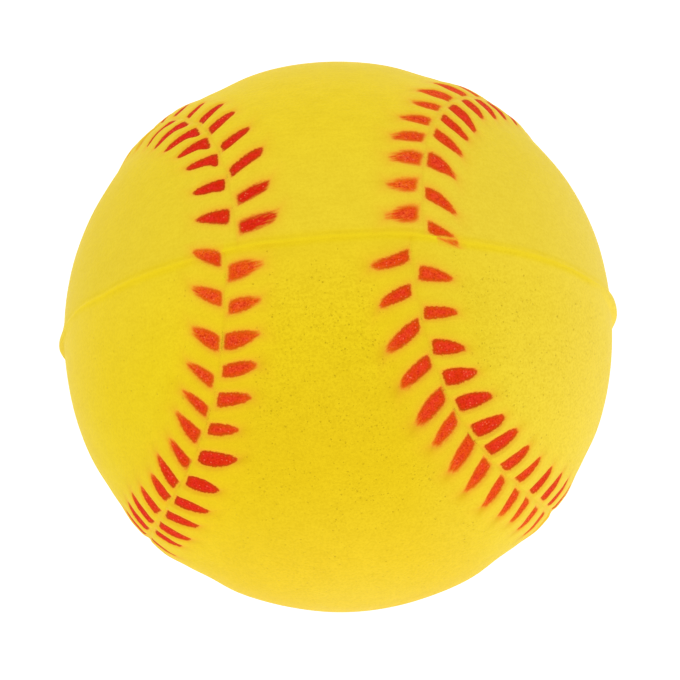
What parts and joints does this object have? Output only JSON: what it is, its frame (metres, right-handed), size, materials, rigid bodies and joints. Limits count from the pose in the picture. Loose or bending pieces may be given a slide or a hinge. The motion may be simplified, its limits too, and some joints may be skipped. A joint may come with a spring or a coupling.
{
  "type": "soft training baseball",
  "caption": "Soft moulded foam ball with a raised figure-of-eight seam, painted stitch dents and a parting bead, for safe throwing, catching and batting practice.",
  "frame": {"origin": "centre of the ball", "axes": "+Y along the mould axis, normal to the parting plane; +Z through the middle of one panel's narrow neck; +X across that neck"},
  "size_m": [0.074, 0.073, 0.074],
  "materials": {
    "foam": "open-cell soft polyurethane foam, matte",
    "skin": "yellow moulded polyurethane skin, satin, with red paint in the stitch dents",
    "bead": "yellow moulded polyurethane skin, satin"
  },
  "bodies": {
    "root": {"foam_core": "foam", "upper_skin": "skin", "lower_skin": "skin", "parting_bead": "bead"}
  },
  "joints": []
}
